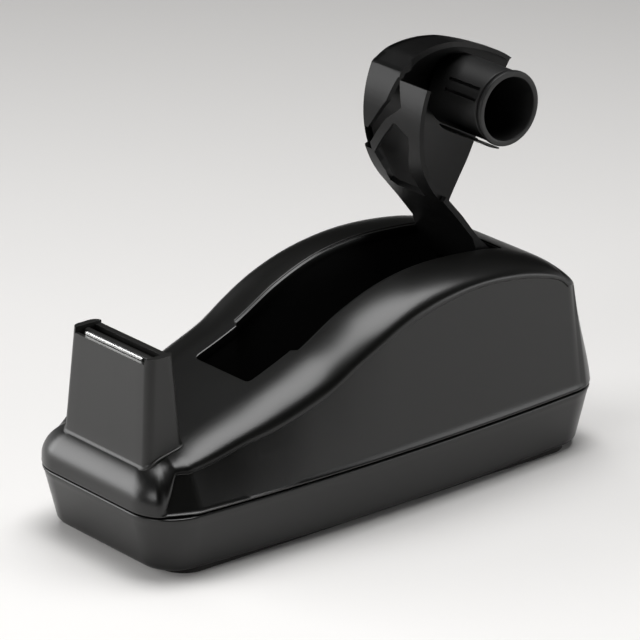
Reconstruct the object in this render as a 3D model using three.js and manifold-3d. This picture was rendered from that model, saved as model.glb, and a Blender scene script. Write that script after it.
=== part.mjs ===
// Weighted desktop tape dispenser: a flared base tray, a humped upper housing with an open
// roll well, a cutter head at the front, and a roll carrier hinged at the rear of the well.
// The carrier is modelled standing open, which is the rest position of every joint.
//
// Frame, in millimetres: X runs across the dispenser, Y from the cutter (-Y) to the back (+Y),
// and Z up from the surface that the dispenser stands on. The origin is under the middle.
import * as THREE from 'three';
import { mergeVertices } from 'three/addons/utils/BufferGeometryUtils.js';
import Module from 'manifold-3d';

const wasm = await Module();
wasm.setup();

// ---------------------------------------------------------------- driving dimensions
const GAP = 0.3;                 // air between pieces that touch
const WALL = 2.4;                // wall of the mouldings

// Body in plan, at the seam between tray and housing.
const HALF_WIDTH = 39.4;
const HALF_LENGTH = 93.9;
const SIDE_BOW = 4.3;            // how much narrower each side is at the ends
const CORNER_PULL = 16;          // corner radius in plan
const SEAM_Z = 22;

// Base tray.
const PAD_THICKNESS = 1.6;
const TRAY_BOTTOM_Z = PAD_THICKNESS + GAP;
const TRAY_FLARE = 0.19;         // outward lean of the tray's walls, mm per mm of height
const TRAY_FLOOR = 2.2;

// Housing top. The shoulder falls from SHOULDER_START to the sides by a drop that changes along
// the body, and the sides lean in, most of all at the nose. Tables are pairs of [y, value].
const SHOULDER_START = 17.6;
const SHOULDER_DROP = [[-80, 4.5], [-57, 5.8], [-36, 7.7], [5, 7.3], [27, 6.1], [41, 4.9], [94, 4.8]];
const SIDE_LEAN = [[-84, 0.46], [-68, 0.43], [-47, 0.28], [-25, 0.18], [0, 0.1], [94, 0.1]];
const NOSE_ROLL_Y = -82;         // where the top begins to roll down to the front
const NOSE_EDGE_Z = 24.5;

// Opening in the hump and the well under it.
const SLOT_FRONT_Y = -41;
const SLOT_JOG_Y = -24;
const SLOT_REAR_Y = 63.4;
const SLOT_NARROW = 13.5;        // half width ahead of the jog
const SLOT_WIDE = 16.4;          // half width behind it
const WELL_WALL = 1.6;
const WELL_FLOOR_Z = 6.2;
const WELL_FRONT_FLOOR_Z = 26;

// Cutter head.
const HEAD_FRONT_Y = -88.4;
const HEAD_REAR_Y = -72.6;
const HEAD_BASE_HALF = 22.1;
const HEAD_TOP_HALF = 20.2;
const HEAD_TOP_Z = 70;
const HEAD_TOP_FRONT_Y = -85.4;
const HEAD_TOP_REAR_Y = -75;
const CHEEK = 2.4;
const TROUGH_DEPTH = 5;
const FRONT_WALL_TOP_Z = 68.2;
const REAR_DIP = 1.1;            // how far the rear wall lies below the cheeks
const BLADE_HALF = 14.4;

// Hinge of the roll carrier.
const HINGE_Y = 58.6;
const HINGE_Z = 66.5;
const PIN_RADIUS = 1.5;
const BARREL_RADIUS = 3.6;

// Roll carrier, open. Its shell is concentric with the hub.
const HUB_Y = 66.7;
const HUB_Z = 117.75;
const CARRIER_LEFT = -14.9;
const CARRIER_RIGHT = 15.3;
const SHELL_OUTER = 38;
const SHELL_THICKNESS = 1.8;
const HOOD_OUTER = 36.7;         // the hood and the plate's front edge sit a step inside the shell
const HOOD_THICKNESS = 2;
const PLATE_THICKNESS = 2;
const SHELL_TOP_DEG = 158.5;     // angles about the hub, 180 is straight to the front
const SHELL_FOOT_DEG = 222;      // below this the shell runs out into the arm
const RIM_FOOT_DEG = 153.4;      // where the plate's upper rim meets its front arc

// Hub, sized for a tape core of one inch.
const HUB_RADIUS = 12.2;
const HUB_LIP_RADIUS = 12.7;
const HUB_BORE = 10.6;
const HUB_INNER_X = -11.3;
const HUB_OUTER_X = 15;
const SPINDLE_RADIUS = 3;

// ---------------------------------------------------------------- materials
const finish = (color, roughness, metalness = 0) =>
  new THREE.MeshStandardMaterial({ color, roughness, metalness });
const blackPlastic = finish(0x232322, 0.55);
const carrierPlastic = finish(0x1b1b1b, 0.5);
const wellPlastic = finish(0x101010, 0.7);
const bladeSteel = finish(0xd9dcdf, 0.28, 1);
const screwSteel = finish(0x9a9da0, 0.35, 1);
const ironCasting = finish(0x4a4744, 0.8, 0.6);
const padRubber = finish(0x2b2a28, 0.95);

// ---------------------------------------------------------------- helpers
const clamp = (value, low, high) => Math.min(high, Math.max(low, value));
const radians = (degrees) => degrees * Math.PI / 180;

// A closed three.js geometry as a manifold solid.
function solid(geometry) {
  const bare = geometry.index ? geometry.toNonIndexed() : geometry.clone();
  bare.deleteAttribute('normal');
  bare.deleteAttribute('uv');
  const merged = mergeVertices(bare, 1e-5);
  return new wasm.Manifold(new wasm.Mesh({
    numProp: 3,
    vertProperties: new Float32Array(merged.attributes.position.array),
    triVerts: new Uint32Array(merged.index.array),
  }));
}

// A manifold solid as a geometry.
function geometryOf(manifold) {
  const mesh = manifold.getMesh();
  const geometry = new THREE.BufferGeometry();
  geometry.setAttribute('position', new THREE.BufferAttribute(mesh.vertProperties, 3));
  geometry.setIndex(new THREE.BufferAttribute(mesh.triVerts, 1));
  geometry.computeVertexNormals();
  return geometry;
}

// Moves every vertex of a geometry by a function of its place.
function reshape(geometry, place) {
  const position = geometry.attributes.position;
  for (let i = 0; i < position.count; i += 1) {
    const [x, y, z] = place(position.getX(i), position.getY(i), position.getZ(i));
    position.setXYZ(i, x, y, z);
  }
  return geometry;
}

// A side outline in Y and Z, extruded across the dispenser from x0 to x1.
function acrossX(outline, x0, x1, steps = 1, curveSegments = 10) {
  const shape = outline instanceof THREE.Shape ? outline : new THREE.Shape(outline);
  const settings = { depth: x1 - x0, steps, bevelEnabled: false, curveSegments };
  return reshape(new THREE.ExtrudeGeometry(shape, settings), (y, z, x) => [x0 + x, y, z]);
}

// A plan outline in X and Y, extruded upwards from z0 to z1.
function upZ(outline, z0, z1) {
  const shape = outline instanceof THREE.Shape ? outline : new THREE.Shape(outline);
  const settings = { depth: z1 - z0, steps: 1, bevelEnabled: false };
  return new THREE.ExtrudeGeometry(shape, settings).translate(0, 0, z0);
}

function block(x0, x1, y0, y1, z0, z1) {
  const geometry = new THREE.BoxGeometry(x1 - x0, y1 - y0, z1 - z0);
  return geometry.translate((x0 + x1) / 2, (y0 + y1) / 2, (z0 + z1) / 2);
}

function rodX(radius, x0, x1, y, z, sides = 24) {
  const geometry = new THREE.CylinderGeometry(radius, radius, x1 - x0, sides);
  return geometry.rotateZ(-Math.PI / 2).translate((x0 + x1) / 2, y, z);
}

function rodZ(radius, z0, z1, x, y, sides = 16) {
  const geometry = new THREE.CylinderGeometry(radius, radius, z1 - z0, sides);
  return geometry.rotateX(Math.PI / 2).translate(x, y, (z0 + z1) / 2);
}

// A turned piece about the X direction: its profile is a list of [x, radius].
function turnedX(profile, y, z, sides = 32) {
  const points = profile.map(([x, radius]) => new THREE.Vector2(radius, x));
  const geometry = new THREE.LatheGeometry(points, sides);
  return geometry.rotateZ(-Math.PI / 2).translate(0, y, z);
}

const point = (a, b) => new THREE.Vector2(a, b);
const aboutHub = (radius, degrees) => point(
  HUB_Y + radius * Math.cos(radians(degrees)),
  HUB_Z + radius * Math.sin(radians(degrees)),
);

const group = new THREE.Group();
function piece(name, shape, material) {
  const geometry = shape instanceof THREE.BufferGeometry ? shape : geometryOf(shape);
  const mesh = new THREE.Mesh(geometry, material);
  mesh.name = name;
  group.add(mesh);
}

// ---------------------------------------------------------------- body shapes
// The housing's top along the middle.
const crest = new THREE.SplineCurve([
  point(-93.9, 35.5), point(-88.3, 36.8), point(-80, 38.4), point(-72.3, 40.1),
  point(-54.4, 45.5), point(-40.9, 49.9), point(-23, 56.8), point(-6, 65.9),
  point(10.7, 71.9), point(27.6, 74.2),
  point(45.9, 73.6), point(60, 71.6), point(74, 67), point(83, 61),
]);
const crestPoints = crest.getPoints(44);

// The value at one place of a table of [place, value], between whose rows it runs straight.
function fromTable(table, at) {
  const next = table.findIndex(([place]) => place >= at);
  if (next <= 0) return table[next === 0 ? 0 : table.length - 1][1];
  const [[place0, value0], [place1, value1]] = table.slice(next - 1, next + 1);
  return value0 + (value1 - value0) * (at - place0) / (place1 - place0);
}
const crestTable = crestPoints.map((p) => [p.x, p.y]);

// Half width of the body in plan at y, before its corners are rounded.
const sideAt = (y, halfWidth) => halfWidth - SIDE_BOW * (y / HALF_LENGTH) ** 2;

// Rounds the corners in plan: how far the ends draw in at a share of the half width.
function cornerPull(share, radius) {
  const reach = (Math.abs(share) * HALF_WIDTH - (HALF_WIDTH - radius)) / radius;
  return radius * (1 - Math.sqrt(1 - clamp(reach, 0, 1) ** 2));
}

// Values after start, up to and including end, in equal steps, so that a long edge can bow.
const SIDE_STEPS = 10;
function evenly(start, end, steps) {
  return Array.from({ length: steps }, (_, i) => start + (end - start) * (i + 1) / steps);
}

// Humped solid under the crest, drawn in by inset on every side but the bottom.
function humpSolid(inset, bottomZ) {
  const outline = new THREE.Shape();
  const front = -HALF_LENGTH + inset;
  const rear = HALF_LENGTH - inset;
  outline.moveTo(front, bottomZ);
  evenly(front, rear, SIDE_STEPS).forEach((y) => outline.lineTo(y, bottomZ));
  outline.lineTo(rear - 0.3, SEAM_Z + 3);
  outline.lineTo(rear - 8, 52 - inset);
  outline.quadraticCurveTo(rear - 9.4, 58.5 - inset, 83 - inset, 61 - inset);
  for (const p of crestPoints.slice(1, -1).reverse()) {
    if (p.x < 82 - inset && p.x > NOSE_ROLL_Y) outline.lineTo(p.x, p.y - inset);
  }
  // The nose rolls down in a quarter of an ellipse.
  const noseFall = fromTable(crestTable, front) - inset - NOSE_EDGE_Z;
  for (const degrees of [0, 15, 30, 45, 60, 72, 82, 90]) {
    const y = NOSE_ROLL_Y + (front - NOSE_ROLL_Y) * Math.sin(radians(degrees));
    const fall = noseFall * (1 - Math.cos(radians(degrees)));
    outline.lineTo(y, fromTable(crestTable, y) - inset - fall);
  }
  outline.closePath();
  return reshape(acrossX(outline, -1, 1, 18, 5), (station, y, z) => {
    const share = Math.sin(station * Math.PI / 2);
    const along = clamp((Math.abs(y) - 45) / 40, 0, 1);
    const pulled = y - Math.sign(y) * cornerPull(share, CORNER_PULL) * along;
    const shoulder = (Math.abs(share) * HALF_WIDTH - SHOULDER_START) / (HALF_WIDTH - SHOULDER_START);
    const fall = 1 - Math.sqrt(1 - clamp(shoulder, 0, 1) ** 2);
    const height = clamp((z - SEAM_Z - 6) / 8, 0, 1);
    const fallen = z - fromTable(SHOULDER_DROP, y) * fall * height;
    const lean = fromTable(SIDE_LEAN, y) * Math.max(0, fallen - SEAM_Z);
    return [share * (sideAt(pulled, HALF_WIDTH - inset) - lean), pulled, fallen];
  });
}

// Flared solid of the tray, drawn in by inset.
function traySolid(inset, bottomZ, topZ) {
  const halfLength = HALF_LENGTH - inset;
  const ys = [-halfLength, ...evenly(-halfLength, halfLength, SIDE_STEPS)];
  const low = ys.map((y) => point(y, bottomZ));
  const high = ys.map((y) => point(y, topZ)).reverse();
  const outline = [...low, ...high];
  return reshape(acrossX(outline, -1, 1, 18), (station, y, z) => {
    const share = Math.sin(station * Math.PI / 2);
    const taper = TRAY_FLARE * (SEAM_Z - z);
    const pull = cornerPull(share, CORNER_PULL) + taper * 1.3;
    const pulled = Math.sign(y) * (Math.abs(y) - pull);
    return [share * (sideAt(pulled, HALF_WIDTH - inset) - taper), pulled, z];
  });
}

// ---------------------------------------------------------------- base tray
const SCREW_PLACES = [[-26, -68], [26, -68], [-26, 72], [26, 72]];
const BOSS_RADIUS = 4;
const SCREW_RADIUS = 1.5;
const SCREW_HEAD_RADIUS = 3;
const TRAY_TOP_Z = SEAM_Z - GAP;

let tray = solid(traySolid(0, TRAY_BOTTOM_Z, TRAY_TOP_Z));
tray = tray.subtract(solid(traySolid(WALL, TRAY_BOTTOM_Z + TRAY_FLOOR, TRAY_TOP_Z + 1)));
for (const [x, y] of SCREW_PLACES) {
  tray = tray.add(solid(rodZ(BOSS_RADIUS, TRAY_BOTTOM_Z + 1, SEAM_Z - 4, x, y)));
  tray = tray.subtract(solid(rodZ(SCREW_RADIUS + GAP, 0, SEAM_Z, x, y)));
  tray = tray.subtract(solid(rodZ(SCREW_HEAD_RADIUS + GAP, 0, TRAY_BOTTOM_Z + 2.2, x, y)));
}
piece('base_tray', tray, blackPlastic);

// Rubber pad glued under the tray, open where the screws go in.
const PAD_HALF_WIDTH = 31;
const PAD_HALF_LENGTH = 83;
const PAD_CORNER = 9;
function roundedRectangle(halfWidth, halfLength, radius) {
  const shape = new THREE.Shape();
  shape.moveTo(halfWidth, -halfLength + radius);
  shape.absarc(halfWidth - radius, halfLength - radius, radius, 0, Math.PI / 2);
  shape.absarc(-halfWidth + radius, halfLength - radius, radius, Math.PI / 2, Math.PI);
  shape.absarc(-halfWidth + radius, -halfLength + radius, radius, Math.PI, Math.PI * 1.5);
  shape.absarc(halfWidth - radius, -halfLength + radius, radius, Math.PI * 1.5, Math.PI * 2);
  return shape;
}
let pad = solid(upZ(roundedRectangle(PAD_HALF_WIDTH, PAD_HALF_LENGTH, PAD_CORNER), 0, PAD_THICKNESS));
for (const [x, y] of SCREW_PLACES) {
  pad = pad.subtract(solid(rodZ(SCREW_HEAD_RADIUS + 0.6, -1, 3, x, y)));
}
piece('non_skid_pad', pad, padRubber);

// ---------------------------------------------------------------- upper housing
function slotOutline(grow) {
  const shape = new THREE.Shape();
  const narrow = SLOT_NARROW + grow;
  const wide = SLOT_WIDE + grow;
  const corner = 3;
  shape.moveTo(-narrow + corner, SLOT_FRONT_Y - grow);
  shape.lineTo(narrow - corner, SLOT_FRONT_Y - grow);
  shape.quadraticCurveTo(narrow, SLOT_FRONT_Y - grow, narrow, SLOT_FRONT_Y - grow + corner);
  shape.lineTo(narrow, SLOT_JOG_Y - grow);
  shape.lineTo(wide, SLOT_JOG_Y + 1.5 - grow);
  shape.lineTo(wide, SLOT_REAR_Y + grow);
  shape.lineTo(-wide, SLOT_REAR_Y + grow);
  shape.lineTo(-wide, SLOT_JOG_Y + 1.5 - grow);
  shape.lineTo(-narrow, SLOT_JOG_Y - grow);
  shape.lineTo(-narrow, SLOT_FRONT_Y - grow + corner);
  shape.quadraticCurveTo(-narrow, SLOT_FRONT_Y - grow, -narrow + corner, SLOT_FRONT_Y - grow);
  return shape;
}

const HEAD_SCREW_X = 12;
const HEAD_SCREW_Y = -80;
const BUMPER = { x0: -14.9, x1: -8, y0: 65.2, y1: 68.2, z0: 68.2, z1: 71.6 };

let housing = solid(humpSolid(0, SEAM_Z));
housing = housing.subtract(solid(humpSolid(WALL, SEAM_Z - 1)));
housing = housing.subtract(solid(upZ(slotOutline(0), SEAM_Z, 90)));
const postLimit = solid(humpSolid(1, SEAM_Z - 5));
for (const [x, y] of SCREW_PLACES) {
  const post = solid(rodZ(BOSS_RADIUS - 0.4, SEAM_Z - 4 + GAP, 80, x, y));
  const bore = solid(rodZ(SCREW_RADIUS + GAP, 0, SEAM_Z + 12, x, y));
  housing = housing.add(post.intersect(postLimit)).subtract(bore);
}
for (const x of [-HEAD_SCREW_X, HEAD_SCREW_X]) {
  housing = housing.subtract(solid(rodZ(SCREW_RADIUS + GAP, 20, 60, x, HEAD_SCREW_Y)));
}
const bumperPocket = block(
  BUMPER.x0 - GAP, BUMPER.x1 + GAP, BUMPER.y0 - GAP, BUMPER.y1 + GAP, BUMPER.z0 - GAP, 80,
);
housing = housing.subtract(solid(bumperPocket));
piece('upper_housing', housing, blackPlastic);

// Rubber rest that the carrier's heel leans on when it stands open.
piece('open_stop_bumper', block(
  BUMPER.x0, BUMPER.x1, BUMPER.y0, BUMPER.y1, BUMPER.z0, BUMPER.z1,
), padRubber);

// ---------------------------------------------------------------- roll well
// A tub under the slot. Its top edge follows the underside of the hump.
function wellProfile(inset, top) {
  const front = SLOT_FRONT_Y - WELL_WALL - GAP + inset;
  const rear = SLOT_REAR_Y + WELL_WALL + GAP - inset;
  const floorZ = WELL_FLOOR_Z - WELL_WALL + inset;
  const frontFloorZ = WELL_FRONT_FLOOR_Z - WELL_WALL + inset;
  const shape = new THREE.Shape();
  shape.moveTo(front, frontFloorZ);
  shape.lineTo(SLOT_JOG_Y - 4, frontFloorZ);
  shape.lineTo(SLOT_JOG_Y - 4 + (inset ? 1 : 0), floorZ);
  shape.lineTo(rear, floorZ);
  if (top) {
    shape.lineTo(rear, top);
    shape.lineTo(front, top);
    return shape;
  }
  for (const p of crestPoints.slice().reverse()) {
    if (p.x > front && p.x < rear) shape.lineTo(p.x, p.y - WALL - GAP - 0.3);
  }
  return shape;
}
const WELL_HALF = SLOT_WIDE + WELL_WALL + 0.2;
let well = solid(acrossX(wellProfile(0), -WELL_HALF, WELL_HALF));
const narrowing = solid(upZ(slotOutline(WELL_WALL + 0.2), 0, 90));
well = well.intersect(narrowing);
const wellHollow = solid(acrossX(wellProfile(WELL_WALL, 90), -WELL_HALF, WELL_HALF));
well = well.subtract(wellHollow.intersect(solid(upZ(slotOutline(0.2), 0, 90))));
well = well.subtract(solid(rodX(PIN_RADIUS + GAP, -30, 30, HINGE_Y, HINGE_Z)));
piece('roll_well', well, wellPlastic);

// ---------------------------------------------------------------- ballast
const BALLAST_Z0 = TRAY_BOTTOM_Z + TRAY_FLOOR + GAP;
const BALLAST_Z1 = 19.5;
piece('ballast_front', block(-19, 19, -82, -46, BALLAST_Z0, BALLAST_Z1), ironCasting);
piece('ballast_rear', block(-19, 19, 68, 84, BALLAST_Z0, BALLAST_Z1), ironCasting);
piece('ballast_left', block(-30.5, -20.5, -56, 60, BALLAST_Z0, BALLAST_Z1), ironCasting);
piece('ballast_right', block(20.5, 30.5, -56, 60, BALLAST_Z0, BALLAST_Z1), ironCasting);

// Pan head screw standing on its head, with a shank up to length.
function screwUp(x, y, z, length) {
  const headHeight = 1.6;
  const profile = [
    point(0, 0), point(SCREW_HEAD_RADIUS, 0), point(SCREW_HEAD_RADIUS, headHeight),
    point(SCREW_RADIUS, headHeight), point(SCREW_RADIUS, length), point(0, length),
  ];
  const body = new THREE.LatheGeometry(profile, 16).rotateX(Math.PI / 2);
  return body.translate(x, y, z);
}
SCREW_PLACES.forEach(([x, y], index) => {
  piece(`housing_screw_${index + 1}`, screwUp(x, y, TRAY_BOTTOM_Z + 0.3, 26), screwSteel);
});

// ---------------------------------------------------------------- cutter head
// A tapered block on the nose. Its top is a trough between two cheeks.
function headSolid() {
  const radius = 3;
  const halfDepth = (HEAD_REAR_Y - HEAD_FRONT_Y) / 2;
  const middleY = (HEAD_FRONT_Y + HEAD_REAR_Y) / 2;
  const baseZ = 34;
  const shape = roundedRectangle(HEAD_BASE_HALF, halfDepth, radius);
  const height = HEAD_TOP_Z - baseZ;
  const shaft = new THREE.ExtrudeGeometry(shape, {
    depth: height, steps: 1, bevelEnabled: false, curveSegments: 5,
  });
  const topMiddleY = (HEAD_TOP_FRONT_Y + HEAD_TOP_REAR_Y) / 2;
  const topHalfDepth = (HEAD_TOP_REAR_Y - HEAD_TOP_FRONT_Y) / 2;
  return reshape(shaft, (x, y, z) => {
    const t = z / height;
    const scaleX = 1 + (HEAD_TOP_HALF / HEAD_BASE_HALF - 1) * t;
    const scaleY = 1 + (topHalfDepth / halfDepth - 1) * t;
    return [x * scaleX, middleY + (topMiddleY - middleY) * t + y * scaleY, baseZ + z];
  });
}
const TROUGH_HALF = HEAD_TOP_HALF - CHEEK;
const TROUGH_FLOOR_Z = HEAD_TOP_Z - TROUGH_DEPTH;
const FRONT_WALL_Y = -84.3;      // rear face of the front wall, which carries the blade
const REAR_WALL_Y = -77.2;
let head = solid(headSolid());
head = head.subtract(solid(humpSolid(-GAP, SEAM_Z)));
const headCore = humpSolid(0, SEAM_Z);
headCore.translate(0, 0, 3.4);
head = head.subtract(solid(headCore).intersect(solid(block(-17, 17, -84, -76, 20, 60))));
head = head.subtract(solid(block(-TROUGH_HALF, TROUGH_HALF, FRONT_WALL_Y, REAR_WALL_Y, TROUGH_FLOOR_Z, 80)));
head = head.subtract(solid(block(-TROUGH_HALF, TROUGH_HALF, -95, FRONT_WALL_Y + 1, FRONT_WALL_TOP_Z, 80)));
head = head.subtract(solid(block(-TROUGH_HALF, TROUGH_HALF, REAR_WALL_Y - 1, -60, HEAD_TOP_Z - REAR_DIP, 80)));
for (const x of [-HEAD_SCREW_X, HEAD_SCREW_X]) {
  head = head.subtract(solid(rodZ(SCREW_RADIUS + GAP, 20, 56, x, HEAD_SCREW_Y)));
}
piece('cutter_head', head, blackPlastic);

// Saw-toothed steel blade, standing against the rear of the front wall.
const BLADE_THICKNESS = 0.6;
const BLADE_BOTTOM_Z = TROUGH_FLOOR_Z + GAP;
const BLADE_TOP_Z = 69.2;
const TOOTH_COUNT = 32;
const TOOTH_HEIGHT = 0.35;
function bladeOutline() {
  const pitch = 2 * BLADE_HALF / TOOTH_COUNT;
  const points = [point(-BLADE_HALF, BLADE_BOTTOM_Z), point(BLADE_HALF, BLADE_BOTTOM_Z)];
  for (let i = 0; i < TOOTH_COUNT; i += 1) {
    const right = BLADE_HALF - i * pitch;
    points.push(point(right, BLADE_TOP_Z - TOOTH_HEIGHT));
    points.push(point(right - pitch / 2, BLADE_TOP_Z));
  }
  points.push(point(-BLADE_HALF, BLADE_TOP_Z - TOOTH_HEIGHT));
  return points;
}
const bladeFront = FRONT_WALL_Y + GAP;
const bladeSheet = new THREE.ExtrudeGeometry(new THREE.Shape(bladeOutline()), {
  depth: BLADE_THICKNESS, bevelEnabled: false,
});
bladeSheet.rotateX(Math.PI / 2).translate(0, bladeFront + BLADE_THICKNESS, 0);
piece('cutter_blade', bladeSheet, bladeSteel);

// Raised rib behind the blade that wedges it in place and holds the tape's end.
const clampFront = bladeFront + BLADE_THICKNESS + GAP;
piece('tape_rest', acrossX([
  point(clampFront, BLADE_BOTTOM_Z), point(-79, BLADE_BOTTOM_Z),
  point(-79, 66.4), point(-80, 69), point(-81.6, 69), point(clampFront, 66.8),
], -TROUGH_HALF + GAP, TROUGH_HALF - GAP), blackPlastic);

[-HEAD_SCREW_X, HEAD_SCREW_X].forEach((x, index) => {
  const side = index === 0 ? 'left' : 'right';
  piece(`head_screw_${side}`, screwUp(x, HEAD_SCREW_Y, 31.4, 20), screwSteel);
});

// ---------------------------------------------------------------- hinge
const PIN_END_X = WELL_HALF + 2.6;
const CLIP_RADIUS = 2.3;
piece('hinge_pin', rodX(PIN_RADIUS, -PIN_END_X, PIN_END_X, HINGE_Y, HINGE_Z, 20), screwSteel);
for (const [side, sign] of [['left', -1], ['right', 1]]) {
  const inner = WELL_HALF + 0.6;
  const ring = [
    [inner, PIN_RADIUS + 0.1], [inner, CLIP_RADIUS], [inner + 1, CLIP_RADIUS],
    [inner + 1, PIN_RADIUS + 0.1], [inner, PIN_RADIUS + 0.1],
  ];
  const clip = turnedX(ring, HINGE_Y, HINGE_Z, 20);
  if (sign < 0) clip.rotateZ(Math.PI).translate(0, 2 * HINGE_Y, 0);
  piece(`pin_clip_${side}`, clip, screwSteel);
}

// ---------------------------------------------------------------- roll carrier
// Shell and arm: a band about the hub that straightens into an arm down to the hinge barrel.
const ARM_FRONT = [point(45, 84.6), point(51.2, 76.8)];
const ARM_REAR = [point(53.4, 76.8), point(46.9, 85.4)];
function shellOutline() {
  const inner = SHELL_OUTER - SHELL_THICKNESS;
  const start = aboutHub(inner, SHELL_TOP_DEG);
  const top = radians(SHELL_TOP_DEG);
  const foot = radians(SHELL_FOOT_DEG);
  const shape = new THREE.Shape();
  shape.moveTo(start.x, start.y);
  shape.absarc(HUB_Y, HUB_Z, SHELL_OUTER, top, foot, false);
  ARM_FRONT.forEach((p) => shape.lineTo(p.x, p.y));
  shape.absarc(HINGE_Y, HINGE_Z, BARREL_RADIUS, radians(190), radians(400), false);
  ARM_REAR.forEach((p) => shape.lineTo(p.x, p.y));
  shape.absarc(HUB_Y, HUB_Z, inner, foot, top, true);
  return shape;
}
let carrier = solid(acrossX(shellOutline(), CARRIER_LEFT, CARRIER_RIGHT, 1, 20));

// Openings: a sheet of the shell inside corners given as [x, degrees about the hub] is cut away.
const WINDOW_EDGE_STEPS = 3;
function shellWindow(corners) {
  const fine = corners.flatMap(([x, degrees], i) => {
    const [nextX, nextDegrees] = corners[(i + 1) % corners.length];
    return Array.from({ length: WINDOW_EDGE_STEPS }, (_, k) => {
      const share = k / WINDOW_EDGE_STEPS;
      return point(x + (nextX - x) * share, degrees + (nextDegrees - degrees) * share);
    });
  });
  const settings = { depth: 10, steps: 1, bevelEnabled: false };
  const cutter = new THREE.ExtrudeGeometry(new THREE.Shape(fine), settings);
  return solid(reshape(cutter, (x, degrees, depth) => {
    const place = aboutHub(SHELL_OUTER + 6 - depth, degrees);
    return [x, place.x, place.y];
  }));
}
const ABOVE_STRUT = [
  [1.7, 154], [1.8, 159], [5, 171], [3.8, 172.6], [-2.3, 179.6], [-10.9, 195], [-17, 200], [-17, 154],
];
const BELOW_STRUT = [
  [9, 184.5], [5.4, 182], [2.9, 180.2], [1.5, 180.2], [-3.9, 189.4], [-10.8, 201.3], [-9.6, 207],
  [-9.2, 213], [-10.6, 221], [-8.6, 224], [5.4, 224], [6, 212], [6.1, 203], [8.9, 190],
];
const RIGHT_TAPER = [
  [15.2, 156], [14.9, 172], [14.6, 184], [13.5, 199], [13.4, 222], [20, 222], [20, 156],
];
for (const corners of [ABOVE_STRUT, BELOW_STRUT, RIGHT_TAPER]) {
  carrier = carrier.subtract(shellWindow(corners));
}

// Side plate that closes the carrier on the left and carries the spindle. Its heel stands on
// the bumper when the carrier is open. Plate and hood share the rim along their top.
const HEEL_Z = BUMPER.z1 + GAP;
const rimPoints = new THREE.SplineCurve([
  point(91.8, 122.8), point(87.6, 125.6), point(81.3, 128.9), point(71.6, 133), point(62, 136.3),
  point(55, 137.6), point(48.7, 137.9), point(43.5, 137.5), point(39.3, 136.6), point(34.2, 134),
]).getPoints(18);
function plateOutline() {
  const rear = new THREE.SplineCurve([
    point(67.4, HEEL_Z), point(65.6, 74.5), point(65, 77.6), point(69.6, 85.6), point(73.4, 91.7),
    point(76.3, 97.3), point(80.6, 105.2), point(86, 114), point(91.8, 122.8),
  ]);
  const shape = new THREE.Shape();
  shape.moveTo(HINGE_Y - 3.4, HINGE_Z);
  shape.lineTo(HINGE_Y + 3.4, HINGE_Z);
  shape.lineTo(HINGE_Y + 3.4, HEEL_Z);
  rear.getPoints(16).forEach((p) => shape.lineTo(p.x, p.y));
  rimPoints.slice(1).forEach((p) => shape.lineTo(p.x, p.y));
  shape.absarc(HUB_Y, HUB_Z, HOOD_OUTER, radians(RIM_FOOT_DEG + 1), radians(SHELL_FOOT_DEG), false);
  ARM_FRONT.forEach((p) => shape.lineTo(p.x + 0.6, p.y));
  return shape;
}
const PLATE_INNER_X = CARRIER_LEFT + PLATE_THICKNESS;
carrier = carrier.add(solid(acrossX(plateOutline(), CARRIER_LEFT, PLATE_INNER_X, 1, 16)));

// Hood: a flange along the plate's top and front edges that overhangs the roll.
const HOOD_FOOT_DEG = 197;
function hoodOutline() {
  const inner = HOOD_OUTER - HOOD_THICKNESS;
  const shape = new THREE.Shape();
  shape.moveTo(rimPoints[0].x, rimPoints[0].y);
  rimPoints.slice(1).forEach((p) => shape.lineTo(p.x, p.y));
  shape.absarc(HUB_Y, HUB_Z, HOOD_OUTER, radians(RIM_FOOT_DEG + 1), radians(HOOD_FOOT_DEG), false);
  shape.absarc(HUB_Y, HUB_Z, inner, radians(HOOD_FOOT_DEG), radians(RIM_FOOT_DEG + 2), true);
  rimPoints.slice(0, -1).reverse().forEach((p) => shape.lineTo(
    HUB_Y + (p.x - HUB_Y) * 0.93, HUB_Z + (p.y - HUB_Z) * 0.9,
  ));
  return shape;
}
let hood = solid(acrossX(hoodOutline(), CARRIER_LEFT, -0.4, 1, 16));
const hoodTrim = new THREE.Shape([
  point(-0.9, 38), point(3, 38), point(3, 98), point(-13.4, 98), point(-9.9, 77), point(-5.4, 60),
]);
hood = hood.subtract(solid(upZ(hoodTrim, 100, 150)));
hood = hood.subtract(shellWindow([
  [-0.9, 157.5], [-4, 171], [-10.2, 183.7], [-14.2, 191], [-19, 197], [-19, 204], [6, 204], [6, 157.5],
]));
carrier = carrier.add(hood);

// Pointed finger catch that stands out of the shell at the left.
const catchOutline = new THREE.Shape([
  [-1.2, 187], [0.3, 189.5], [1, 193], [2.9, 196.5], [2.7, 197.6], [0.6, 201], [-1.2, 203],
].map(([out, degrees]) => aboutHub(HOOD_OUTER + out, degrees)));
carrier = carrier.add(solid(acrossX(catchOutline, CARRIER_LEFT, -11.6)));

// Boss that the spindle is pressed into, and bores for the spindle and the hinge pin.
carrier = carrier.add(solid(rodX(6, PLATE_INNER_X - 0.5, PLATE_INNER_X + 1.2, HUB_Y, HUB_Z)));
carrier = carrier.subtract(solid(rodX(SPINDLE_RADIUS + GAP, -20, 0, HUB_Y, HUB_Z)));
carrier = carrier.subtract(solid(rodX(PIN_RADIUS + GAP, -20, 20, HINGE_Y, HINGE_Z)));
piece('roll_carrier', carrier, carrierPlastic);

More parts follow.
